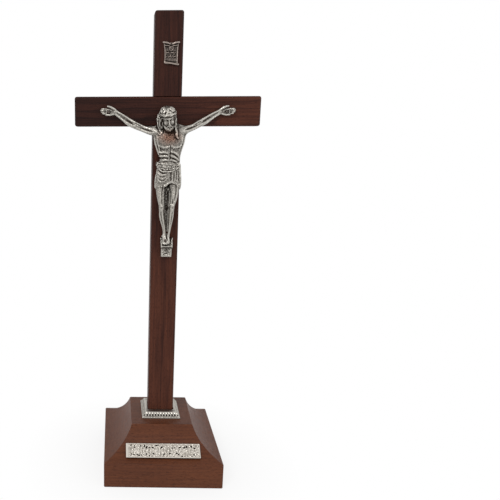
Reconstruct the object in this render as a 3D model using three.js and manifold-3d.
// A standing crucifix: a wooden cross on a coved wooden base, with cast metal fittings.
// Millimetres, +Z up, +X to the right as seen from the front, the front faces -Y.
// The origin is the middle of the base's underside.
import * as THREE from 'three';
import { mergeVertices } from 'three/addons/utils/BufferGeometryUtils.js';
import Module from 'manifold-3d';

const wasm = await Module();
wasm.setup();

// Base block
const baseWidth = 78;
const baseSideHeight = 17.3;
const baseHeight = 36;
const baseTopWidth = 41;
const coveRadius = 28;
const coveSteps = 12;
const baseEdgeRound = 0.6;

// Bars of the cross, joined by a half lap
const crossTop = 300;
const headHeight = 49.8;
const barWidth = 17.5;
const barDepth = 12.25;
const barRound = 1;
const barSegments = 3;
const beamLength = 115.4;
const beamHeight = 18.1;
const mortiseDepth = 10;
const glueGap = 0.3;

// Collar round the foot of the upright
const collarFlat = 1.4;
const collarSlope = 2.6;
const collarLip = 0.7;
const collarHeight = 4;

// Plaque on the front cove, with two studs cast on its back
const plaqueWidth = 49;
const plaqueHeight = 9.8;
const plaqueThickness = 1.6;
const plaqueRim = 0.7;
const plaqueRimDepth = 0.35;
const plaqueInset = 4.1;
const plaqueGap = 0.3;
const studRadius = 1;
const studLength = 2.7;
const studSpacing = 34;

// Title scroll on the upright
const scrollHeight = 11.8;
const scrollHalfWaist = 4.1;
const scrollHalfTop = 4.6;
const scrollThickness = 1;
const scrollRoll = 0.8;
const scrollMiddleX = 1.3;
const scrollDrop = 24.6;
const pinRise = 2.5;
const pinHeadRadius = 0.9;

// Figure, from the top of the crown to the underside of the tablet below the feet
const figureHeight = 96;

// Nails and pins
const nailRadius = 0.4;
const nailHeadRadius = 0.95;
const nailHeadHeight = 0.5;
const nailBite = 5.5;
const nailPoint = 1;
const drillGap = 0.3;

// Wood screw under the base
const screwRadius = 2;
const screwHeadRadius = 4.2;
const screwHeadHeight = 2.6;
const screwLength = 34;
const screwPoint = 5;
const screwThreads = 9;
const threadDepth = 0.45;
const counterbore = 9;
const slotWidth = 1;
const slotDepth = 1.1;

// Finishes
const darkWood = new THREE.MeshStandardMaterial({ color: 0x4b2a22, roughness: 0.45, metalness: 0 });
const redWood = new THREE.MeshStandardMaterial({ color: 0x6b3c29, roughness: 0.5, metalness: 0 });
const silver = new THREE.MeshStandardMaterial({ color: 0xb4b0a6, roughness: 0.35, metalness: 1 });
const steel = new THREE.MeshStandardMaterial({ color: 0x9a9a98, roughness: 0.3, metalness: 1 });

const alongX = new THREE.Vector3(1, 0, 0);
const alongY = new THREE.Vector3(0, 1, 0);
const alongZ = new THREE.Vector3(0, 0, 1);
const roundSides = 16;
// How far a cutter runs past the surface that it opens
const past = 1;

// A closed geometry as a solid that can be joined and cut
function solid(geometry) {
  const bare = geometry.clone();
  bare.deleteAttribute('normal');
  bare.deleteAttribute('uv');
  const merged = mergeVertices(bare, 1e-4);
  const corners = merged.index.array;
  const kept = [];
  for (let i = 0; i < corners.length; i += 3) {
    const [a, b, c] = corners.slice(i, i + 3);
    if (a !== b && b !== c && c !== a) kept.push(a, b, c);
  }
  return new wasm.Manifold(new wasm.Mesh({
    numProp: 3,
    vertProperties: Float32Array.from(merged.attributes.position.array),
    triVerts: Uint32Array.from(kept),
  }));
}

// A solid as a flat-shaded geometry
function surface(body) {
  const { vertProperties, triVerts, numProp } = body.getMesh();
  const places = new Float32Array(triVerts.length * 3);
  triVerts.forEach((corner, i) => {
    for (let k = 0; k < 3; k += 1) places[3 * i + k] = vertProperties[corner * numProp + k];
  });
  const geometry = new THREE.BufferGeometry();
  geometry.setAttribute('position', new THREE.BufferAttribute(places, 3));
  geometry.computeVertexNormals();
  return geometry;
}

function named(name, body, finish) {
  const mesh = new THREE.Mesh(surface(body), finish.clone());
  mesh.name = name;
  return mesh;
}

// A closed skin over rings of points, each ring turning left about the way to the next one
function skin(rings) {
  const sides = rings[0].length;
  const points = rings.flat();
  const corners = [];
  for (let r = 0; r + 1 < rings.length; r += 1) {
    for (let s = 0; s < sides; s += 1) {
      const here = r * sides + s;
      const next = r * sides + ((s + 1) % sides);
      corners.push(here, next, next + sides, here, next + sides, here + sides);
    }
  }
  const last = (rings.length - 1) * sides;
  const middle = (ring) => ring.reduce((sum, p) => sum.add(p), new THREE.Vector3()).divideScalar(sides);
  points.push(middle(rings[0]), middle(rings.at(-1)));
  for (let s = 0; s < sides; s += 1) {
    const next = (s + 1) % sides;
    corners.push(points.length - 2, next, s);
    corners.push(points.length - 1, last + s, last + next);
  }
  const geometry = new THREE.BufferGeometry().setFromPoints(points);
  geometry.setIndex(corners);
  return geometry;
}

function box(low, high) {
  const size = high.map((h, i) => h - low[i]);
  const geometry = new THREE.BoxGeometry(...size);
  return solid(geometry.translate(...low.map((l, i) => l + size[i] / 2)));
}

// A round bar along Y or Z, from one end to the other
function barAlongY(radius, x, z, yFrom, yTo) {
  const geometry = new THREE.CylinderGeometry(radius, radius, yTo - yFrom, roundSides);
  return solid(geometry.translate(x, (yFrom + yTo) / 2, z));
}

function barAlongZ(radius, zFrom, zTo) {
  const geometry = new THREE.CylinderGeometry(radius, radius, zTo - zFrom, roundSides);
  return solid(geometry.rotateX(Math.PI / 2).translate(0, 0, (zFrom + zTo) / 2));
}

function roundedRectangle(width, height, round) {
  const x = width / 2;
  const y = height / 2;
  const outline = new THREE.Shape();
  outline.moveTo(round - x, -y);
  outline.absarc(x - round, round - y, round, -Math.PI / 2, 0);
  outline.absarc(x - round, y - round, round, 0, Math.PI / 2);
  outline.absarc(round - x, y - round, round, Math.PI / 2, Math.PI);
  outline.absarc(round - x, round - y, round, Math.PI, 1.5 * Math.PI);
  return outline;
}

// A level ring with rounded corners, at a height
function levelRing(width, depth, round, z, segments = 2) {
  const outline = roundedRectangle(width, depth, round).getPoints(segments);
  return outline.slice(0, -1).map((p) => new THREE.Vector3(p.x, p.y, z));
}

// A planed batten standing on Z, with every edge rounded
function batten(width, depth, length) {
  const rise = (turn) => barRound * (1 - Math.cos(turn));
  const ring = (turn, z) => {
    const narrower = 2 * barRound * (1 - Math.sin(turn));
    const round = barRound * THREE.MathUtils.lerp(0.2, 1, Math.sin(turn));
    return levelRing(width - narrower, depth - narrower, round, z, barSegments);
  };
  const turns = Array.from({ length: barSegments + 1 }, (_, i) => (i / barSegments) * (Math.PI / 2));
  const lower = turns.map((turn) => ring(turn, rise(turn)));
  const upper = turns.toReversed().map((turn) => ring(turn, length - rise(turn)));
  return skin([...lower, ...upper]);
}

// The cove is one arc between the slab's edge and the top's edge, hollow towards the outside
const slabEdge = new THREE.Vector2(baseWidth / 2, baseSideHeight);
const topEdge = new THREE.Vector2(baseTopWidth / 2, baseHeight);
const coveChord = slabEdge.distanceTo(topEdge);
const outward = new THREE.Vector2(baseHeight - baseSideHeight, (baseWidth - baseTopWidth) / 2).normalize();
const coveCentre = slabEdge.clone().add(topEdge).divideScalar(2)
  .addScaledVector(outward, Math.sqrt(coveRadius ** 2 - (coveChord / 2) ** 2));
const angleOf = (point) => Math.atan2(point.y - coveCentre.y, point.x - coveCentre.x);

function covePoint(angle) {
  return new THREE.Vector2(Math.cos(angle), Math.sin(angle)).multiplyScalar(coveRadius).add(coveCentre);
}

const squareRing = (width, z) => levelRing(width, width, baseEdgeRound, z);

const uprightFoot = baseHeight - mortiseDepth;
const screwTip = counterbore + screwLength;

// The room that the upright's foot takes, between two heights
function barSocket(zFrom, zTo) {
  const x = barWidth / 2 + glueGap;
  const y = barDepth / 2 + glueGap;
  return box([-x, -y, zFrom], [x, y, zTo]);
}

function makeBase(plaqueFrame) {
  const [from, to] = [slabEdge, topEdge].map((point) => angleOf(point) + 2 * Math.PI);
  const cove = Array.from({ length: coveSteps + 1 }, (_, i) => (
    covePoint(THREE.MathUtils.lerp(from, to, i / coveSteps))));
  const half = baseWidth / 2;
  const profile = [[half - baseEdgeRound, 0], [half, baseEdgeRound], ...cove.map((p) => p.toArray())];
  let block = solid(skin(profile.map(([halfWidth, z]) => squareRing(2 * halfWidth, z))));
  block = block.subtract(barSocket(uprightFoot, baseHeight + past));
  block = block.subtract(barAlongZ(screwRadius + drillGap, -past, uprightFoot + past));
  block = block.subtract(barAlongZ(screwHeadRadius + drillGap, -past, counterbore));
  for (const side of [-1, 1]) {
    const radius = studRadius + drillGap;
    const hole = new THREE.CylinderGeometry(radius, radius, 2 * studLength, roundSides)
      .translate(side * studSpacing / 2, drillGap, 0).applyMatrix4(plaqueFrame);
    block = block.subtract(solid(hole));
  }
  return named('base_block', block, redWood);
}

const beamHigh = crossTop - headHeight;
const beamLow = beamHigh - beamHeight;
const beamMiddle = (beamLow + beamHigh) / 2;
const scrollMiddleZ = crossTop - scrollDrop;

function makeUpright() {
  let bar = solid(batten(barWidth, barDepth, crossTop - uprightFoot).translate(0, 0, uprightFoot));
  const side = barWidth;
  bar = bar.subtract(box([-side, -barDepth, beamLow - glueGap], [side, 0, beamHigh + glueGap]));
  bar = bar.subtract(barAlongZ(screwRadius + drillGap, uprightFoot - past, screwTip + drillGap));
  bar = bar.subtract(nailHole(scrollMiddleX, scrollMiddleZ + pinRise));
  bar = bar.subtract(nailHole(footNail.x, beamMiddle + footNail.z));
  return named('upright', bar, darkWood);
}

function makeBeam() {
  const along = batten(beamHeight, barDepth, beamLength).translate(0, 0, -beamLength / 2);
  let bar = solid(along.rotateY(Math.PI / 2).translate(0, 0, beamMiddle));
  const halfGap = barWidth / 2 + glueGap;
  bar = bar.subtract(box([-halfGap, 0, beamLow - past], [halfGap, barDepth, beamHigh + past]));
  for (const side of [-1, 1]) bar = bar.subtract(nailHole(side * palmNail.x, beamMiddle + palmNail.z));
  return named('crossbeam', bar, darkWood);
}

// A drilled hole for a nail's shank, from the front face into the wood
function nailHole(x, z) {
  const front = -barDepth / 2;
  return barAlongY(nailRadius + drillGap, x, z, front - past, front + nailBite + drillGap);
}

function makeCollar() {
  const topWidth = barWidth + 2 * (glueGap + collarFlat);
  const width = topWidth + 2 * collarSlope;
  const rings = [[width, 0], [width, collarLip], [topWidth, collarHeight]]
    .map(([across, rise]) => squareRing(across, baseHeight + rise));
  const hole = barSocket(baseHeight - past, baseHeight + collarHeight + past);
  return named('collar', solid(skin(rings)).subtract(hole), silver);
}

// The plaque's own frame: its back is the XZ plane, up the slope is +Z, and it is bridged across the cove
function plaquePlace() {
  const lowAngle = -Math.acos((baseWidth / 2 - plaqueInset - coveCentre.x) / coveRadius);
  const highAngle = lowAngle - 2 * Math.asin(plaqueHeight / 2 / coveRadius);
  const [low, high] = [lowAngle, highAngle].map(covePoint);
  const up = high.clone().sub(low).normalize();
  const out = new THREE.Vector2(up.y, -up.x);
  const middle = low.add(high).divideScalar(2).addScaledVector(out, plaqueGap);
  const place = new THREE.Group();
  place.position.set(0, -middle.x, middle.y);
  place.rotation.x = Math.atan2(up.x, up.y);
  place.updateMatrixWorld();
  return place;
}

// A flat outline in X and Z, given thickness towards the front
function plate(outline, thickness, curveSegments = 4) {
  const standing = new THREE.Matrix4().makeBasis(alongX, alongZ, alongY.clone().negate());
  return new THREE.ExtrudeGeometry(outline, { depth: thickness, bevelEnabled: false, curveSegments })
    .applyMatrix4(standing);
}

function makePlaque(place) {
  let strip = solid(plate(roundedRectangle(plaqueWidth, plaqueHeight, plaqueRim), plaqueThickness));
  const panel = roundedRectangle(plaqueWidth - 2 * plaqueRim, plaqueHeight - 2 * plaqueRim, plaqueRim);
  strip = strip.subtract(solid(plate(panel, past).translate(0, plaqueRimDepth - plaqueThickness, 0)));
  for (const side of [-1, 1]) {
    strip = strip.add(barAlongY(studRadius, side * studSpacing / 2, 0, -plaqueThickness / 2, studLength));
  }
  place.add(named('plaque', strip, silver));
  return place;
}

// One length of the figure or of a scroll: rings along a smooth line through the stations.
// A station is [x, y, z, half width, half depth], and depth is measured along Y.
function limb(stations, { steps = 2 * (stations.length - 1), sides = 12, pleats = 0, pleatDepth = 0 } = {}) {
  const path = new THREE.CatmullRomCurve3(stations.map(([x, y, z]) => new THREE.Vector3(x, y, z)));
  const swell = new THREE.CatmullRomCurve3(stations.map(([, , , w, d]) => new THREE.Vector3(w, d, 0)));
  const ringAt = (t, reach = 0, share = 1) => {
    const way = path.getTangent(t);
    const deep = alongY.clone().addScaledVector(way, -alongY.dot(way)).normalize();
    const wide = new THREE.Vector3().crossVectors(deep, way);
    const size = swell.getPoint(t);
    const middle = path.getPoint(t).addScaledVector(way, reach * Math.min(size.x, size.y));
    return Array.from({ length: sides }, (_, s) => {
      const turn = (2 * Math.PI * s) / sides;
      const fold = share * (1 + pleatDepth * Math.cos(pleats * turn));
      return middle.clone()
        .addScaledVector(wide, size.x * fold * Math.cos(turn))
        .addScaledVector(deep, size.y * fold * Math.sin(turn));
    });
  };
  const along = Array.from({ length: steps + 1 }, (_, i) => ringAt(i / steps));
  const [nearReach, farReach] = [0.55, 0.9];
  const [nearShare, farShare] = [0.8, 0.35];
  const start = [ringAt(0, -farReach, farShare), ringAt(0, -nearReach, nearShare)];
  const end = [ringAt(1, nearReach, nearShare), ringAt(1, farReach, farShare)];
  return skin([...start, ...along, ...end]);
}

const joined = (solids) => solids.reduce((all, one) => all.add(one));

function oval(centre, radii, tilt = [0, 0]) {
  const ball = new THREE.SphereGeometry(1, 16, 10).rotateX(Math.PI / 2).scale(...radii);
  return ball.rotateX(tilt[0]).rotateY(tilt[1]).translate(...centre);
}

function makeScroll() {
  const half = scrollHeight / 2;
  const sheet = new THREE.Shape();
  sheet.moveTo(-scrollHalfWaist, -half);
  sheet.lineTo(scrollHalfWaist, -half);
  sheet.quadraticCurveTo(scrollHalfWaist, half / 2, scrollHalfTop, half);
  sheet.lineTo(-scrollHalfTop, half);
  sheet.quadraticCurveTo(-scrollHalfWaist, half / 2, -scrollHalfWaist, -half);
  const roll = (stations) => solid(limb(stations.map(([x, z, share]) => (
    [x, -scrollThickness, z, scrollRoll * share, scrollRoll * share])), { sides: 10 }));
  const topRoll = (side) => roll([
    [side * scrollHalfTop, half, 1], [side * scrollHalfTop / 2, half, 0.9],
    [side * scrollRoll / 2, half - scrollRoll, 0.6],
  ]);
  const foot = roll([
    [-scrollHalfWaist, scrollRoll / 2 - half, 0.8], [0, -half, 1], [scrollHalfTop, -half - scrollRoll, 1],
  ]);
  let scroll = joined([solid(plate(sheet, scrollThickness)), topRoll(-1), topRoll(1), foot]);
  const reach = scrollHeight;
  scroll = scroll.subtract(box([-reach, 0, -reach], [reach, reach, reach]));
  scroll = scroll.subtract(barAlongY(nailRadius + drillGap, 0, pinRise, -reach, past));
  const place = new THREE.Group();
  place.position.set(scrollMiddleX, -barDepth / 2, scrollMiddleZ);
  place.add(named('title_scroll', scroll, silver));
  place.add(makeNail('scroll_pin', { x: 0, z: pinRise, seat: scrollThickness }, pinHeadRadius));
  return place;
}

// A nail in the wood's front face: its head's underside stands at a seat in front of that face
function makeNail(name, { x, z, seat }, headRadius = nailHeadRadius) {
  const profile = [
    [0, -nailHeadHeight], [headRadius * 0.6, -nailHeadHeight * 0.9], [headRadius, -nailHeadHeight * 0.4],
    [headRadius, 0], [nailRadius, 0], [nailRadius, seat + nailBite - nailPoint], [0, seat + nailBite],
  ].map(([radius, y]) => new THREE.Vector2(radius, y));
  return named(name, solid(new THREE.LatheGeometry(profile, roundSides).translate(x, -seat, z)), steel);
}

// The figure's frame: the origin is on the beam's front face at its middle, and -Y is towards the viewer.
// Its stations are drawn for one height, and cast at the height that is set above.
const drawnHeight = 96;
const figureScale = figureHeight / drawnHeight;
const cast = (geometry) => solid(geometry.scale(figureScale, figureScale, figureScale));
const palmNail = { x: 36.6 * figureScale, z: -0.4 * figureScale, seat: 1.6 * figureScale };
const footNail = { x: 0.1 * figureScale, z: -80.6 * figureScale, seat: 5.4 * figureScale };

const figure = {
  torso: [
    [1.0, -5.4, -8.6, 4.4, 2.2], [1.0, -5.6, -12.0, 8.8, 3.3], [1.1, -5.8, -16.0, 9.4, 3.9],
    [1.4, -5.9, -20.5, 8.3, 4.1], [1.6, -5.9, -25.5, 6.9, 3.6], [1.7, -5.8, -30.5, 6.1, 3.0],
    [1.0, -5.4, -36.0, 6.6, 3.0],
  ],
  neck: [[0.8, -4.6, -12.0, 3.4, 2.6], [0.3, -7.2, -7.0, 2.8, 2.8]],
  hairBack: [[-0.4, -5.2, 0.6, 4.6, 2.8], [-0.6, -4.6, -6.0, 5.2, 2.8], [-0.2, -4.0, -12.0, 4.8, 1.8]],
  lockLeft: [
    [-4.4, -9.0, -0.6, 1.4, 2.6], [-5.3, -7.6, -6.0, 1.5, 2.8], [-5.2, -7.2, -11.0, 1.5, 2.1],
    [-4.2, -9.0, -15.0, 0.9, 1.0],
  ],
  lockRight: [
    [3.4, -9.0, -0.6, 1.4, 2.6], [4.1, -7.8, -6.0, 1.5, 2.8], [4.4, -8.0, -11.0, 1.3, 2.1],
    [5.0, -9.8, -16.5, 0.8, 1.0], [5.6, -10.0, -19.5, 0.7, 0.8],
  ],
  cloth: [
    [1.1, -5.2, -32.0, 6.8, 3.3], [0.8, -4.8, -36.0, 7.4, 3.7], [0.7, -4.6, -41.0, 8.1, 3.6],
    [0.7, -5.0, -45.0, 8.4, 3.1], [0.7, -5.1, -46.4, 8.3, 2.9],
  ],
  belt: [[1.0, -5.2, -31.8, 6.9, 3.4], [1.0, -5.2, -33.2, 7.4, 3.9], [1.0, -5.2, -34.6, 7.0, 3.6]],
  fall: [
    [7.0, -6.0, -32.6, 1.7, 1.5], [7.6, -5.6, -38.0, 1.5, 1.3], [8.0, -5.0, -43.0, 1.4, 1.2],
    [7.9, -4.6, -47.0, 1.1, 0.9],
  ],
  legLeft: [
    [-3.4, -5.2, -44.5, 3.3, 2.0], [-3.9, -5.7, -49.0, 2.9, 2.4], [-3.7, -6.6, -54.0, 2.3, 2.3],
    [-3.4, -6.8, -58.0, 1.8, 2.2], [-3.3, -5.4, -62.5, 1.6, 1.9], [-3.0, -4.9, -66.0, 1.7, 1.8],
    [-1.8, -4.1, -73.0, 1.1, 1.3], [-0.9, -3.5, -78.0, 1.1, 1.3],
  ],
  legRight: [
    [4.7, -5.2, -44.5, 3.3, 2.0], [5.3, -5.7, -49.0, 2.4, 2.4], [4.8, -6.5, -54.0, 2.0, 2.2],
    [4.1, -6.7, -58.0, 1.7, 2.1], [3.9, -5.4, -62.5, 1.6, 1.9], [3.8, -4.9, -66.0, 1.6, 1.8],
    [2.3, -4.1, -73.0, 1.0, 1.3], [1.5, -3.5, -78.0, 1.0, 1.2],
  ],
  footLeft: [[-0.9, -3.4, -77.6, 1.2, 1.4], [-0.6, -4.6, -80.6, 1.6, 1.3], [-0.1, -5.3, -83.4, 1.7, 0.8]],
  footRight: [[1.5, -3.2, -77.6, 1.1, 1.3], [1.3, -3.6, -80.6, 1.4, 1.2], [1.2, -4.4, -83.0, 1.5, 0.8]],
  armLeft: [
    [-5.5, -4.9, -12.6, 2.6, 3.2], [-10.5, -4.5, -12.0, 2.4, 2.5], [-15.0, -3.9, -10.5, 2.2, 2.2],
    [-19.0, -3.4, -8.8, 2.4, 2.1], [-23.5, -2.8, -6.6, 2.5, 1.9], [-28.5, -2.1, -3.1, 2.0, 1.5],
    [-32.5, -1.4, -0.6, 1.7, 1.2],
  ],
  armRight: [
    [7.5, -4.9, -12.2, 2.6, 3.2], [12.2, -4.5, -10.7, 2.3, 2.5], [15.8, -4.0, -9.4, 2.1, 2.2],
    [19.2, -3.4, -7.6, 2.3, 2.1], [23.2, -2.8, -5.6, 2.4, 1.9], [27.8, -2.1, -2.7, 1.9, 1.5],
    [32.0, -1.4, -0.5, 1.7, 1.2],
  ],
  web: [
    [0.6, -1.5, -44.5, 1.8, 1.4], [0.7, -1.5, -54.0, 2.6, 1.4], [0.5, -1.5, -62.0, 2.4, 1.4],
    [0.4, -1.6, -74.0, 1.3, 1.4],
  ],
  swells: [
    [[-3.2, -7.3, -15.8], [4.6, 2.2, 3.4]], [[5.2, -7.3, -15.6], [4.6, 2.2, 3.4]],
    [[-3.4, -8.0, -57.6], [1.5, 1.1, 2.0]], [[4.1, -7.9, -57.6], [1.4, 1.1, 2.0]],
    [[0.5, -3.0, -40.6], [5.0, 3.2, 4.8]],
  ],
};

// A hand laid back on the beam with its palm forward; side is -1 on the left and 1 on the right
function hand(side) {
  const palm = [[32.0, -1.3, -0.6, 1.7, 1.1], [35.0, -1.0, -0.4, 2.2, 1.1], [38.4, -0.9, -0.4, 2.0, 0.9]];
  const thumb = [[33.6, -1.2, 1.2, 0.9, 0.8], [35.6, -1.3, 2.6, 0.7, 0.7], [37.3, -1.2, 3.3, 0.6, 0.6]];
  const knuckle = 37.6;
  const tips = [[41.4, 1.4], [41.9, 0.5], [41.6, -0.5], [40.8, -1.5]];
  const fingers = tips.map(([x, z]) => [
    [knuckle, -1.1, 0.8 * z, 0.7, 0.8], [(knuckle + x) / 2, -1.2, 0.9 * z, 0.65, 0.75],
    [x, -1.8, z, 0.5, 0.5],
  ]);
  const place = ([x, ...others]) => [side * x, ...others];
  return [palm, thumb, ...fingers].map((line) => limb(line.map(place), { steps: 3, sides: 7 }));
}

// The head leans forward and to the left, with a twisted band round the hair
function head() {
  const tilt = [0.38, -0.14];
  const crown = new THREE.TorusGeometry(5.2, 0.8, 7, 24).scale(1, 1.08, 1);
  return [
    oval([-0.5, -9.4, -2.8], [5.3, 5.8, 5.9], tilt),
    oval([0.2, -10.8, -6.4], [3.7, 3.8, 4.9], tilt),
    oval([0.7, -11.4, -9.8], [2.4, 2.2, 2.3], tilt),
    oval([0.3, -14.4, -6.9], [0.7, 1.2, 1.5], tilt),
    crown.rotateX(tilt[0]).rotateY(tilt[1]).translate(-0.5, -9.8, -0.9),
  ];
}

// A side outline in Y and Z, given width along X
function slab(points, xFrom, xTo) {
  const outline = new THREE.Shape(points.map(([y, z]) => new THREE.Vector2(y, z)));
  const sideways = new THREE.Matrix4().makeBasis(alongY, alongZ, alongX);
  const geometry = new THREE.ExtrudeGeometry(outline, { depth: xTo - xFrom, bevelEnabled: false });
  return geometry.applyMatrix4(sideways).translate(xFrom, 0, 0);
}

// The sloping footrest between its two side horns, and the tablet that hangs below it
function footrest() {
  const middle = 0.6;
  const halfWidth = 3.8;
  const horn = 0.9;
  const shelf = [
    [0.5, -80.2], [-1.6, -80.6], [-4.9, -84.4], [-4.7, -85.3], [-3.3, -85.6], [-2.7, -91.9], [0.5, -91.9],
  ];
  const cheek = [[0.5, -79.4], [-2.2, -79.4], [-4.9, -84.0], [-4.7, -85.3], [-3.3, -86.4], [0.5, -86.4]];
  const cheeks = [-halfWidth, halfWidth].map((side) => (
    slab(cheek, middle + side - horn / 2, middle + side + horn / 2)));
  return [slab(shelf, middle - halfWidth, middle + halfWidth), ...cheeks];
}

function makeCorpus() {
  const finer = { sides: 20 };
  const pleated = { sides: 32, pleats: 16, pleatDepth: 0.03 };
  const { torso, hairBack, cloth, belt, swells, ...plain } = figure;
  const pieces = [
    limb(torso, finer), limb(hairBack, finer), limb(belt, finer), limb(cloth, pleated),
    ...Object.values(plain).map((stations) => limb(stations)),
    ...swells.map(([centre, radii]) => oval(centre, radii)),
    ...head(), ...hand(-1), ...hand(1), ...footrest(),
  ];
  const reach = beamLength;
  let body = joined(pieces.map(cast)).subtract(box([-reach, 0, -reach], [reach, reach, reach]));
  const nails = {
    hand_nail_left: { ...palmNail, x: -palmNail.x }, hand_nail_right: palmNail, foot_nail: footNail,
  };
  for (const { x, z, seat } of Object.values(nails)) {
    body = body.subtract(barAlongY(nailRadius + drillGap, x, z, -reach, past));
    body = body.subtract(barAlongY(nailHeadRadius + drillGap, x, z, -reach, -seat));
  }
  const place = new THREE.Group();
  place.position.set(0, -barDepth / 2, beamMiddle);
  place.add(named('corpus', body, silver));
  for (const [name, nail] of Object.entries(nails)) place.add(makeNail(name, nail));
  return place;
}

// A slotted round-head wood screw, head down, with its threads as plain rings
function makeScrew() {
  const headLow = counterbore - screwHeadHeight;
  const rim = counterbore - screwHeadHeight * 0.4;
  const threadStart = uprightFoot + drillGap;
  const threadEnd = screwTip - screwPoint;
  const pitch = (threadEnd - threadStart) / screwThreads;
  const profile = [[0, headLow], [screwHeadRadius * 0.7, headLow], [screwHeadRadius, rim]];
  profile.push([screwHeadRadius, counterbore], [screwRadius, counterbore], [screwRadius, threadStart]);
  for (let i = 0; i < screwThreads; i += 1) {
    profile.push([screwRadius - threadDepth, threadStart + (i + 0.3) * pitch]);
    profile.push([screwRadius, threadStart + (i + 0.8) * pitch]);
  }
  profile.push([screwRadius - threadDepth, threadEnd], [0, screwTip]);
  const turned = new THREE.LatheGeometry(profile.map(([r, z]) => new THREE.Vector2(r, z)), roundSides);
  const reach = screwHeadRadius;
  const slot = box([-reach, -slotWidth / 2, headLow - past], [reach, slotWidth / 2, headLow + slotDepth]);
  return named('base_screw', solid(turned.rotateX(Math.PI / 2)).subtract(slot), steel);
}

const plaqueFrame = plaquePlace();
const cross = new THREE.Group();
cross.add(makeBase(plaqueFrame.matrixWorld), makeUpright(), makeBeam(), makeCollar());
cross.add(makePlaque(plaqueFrame), makeScroll(), makeCorpus(), makeScrew());

export default cross;
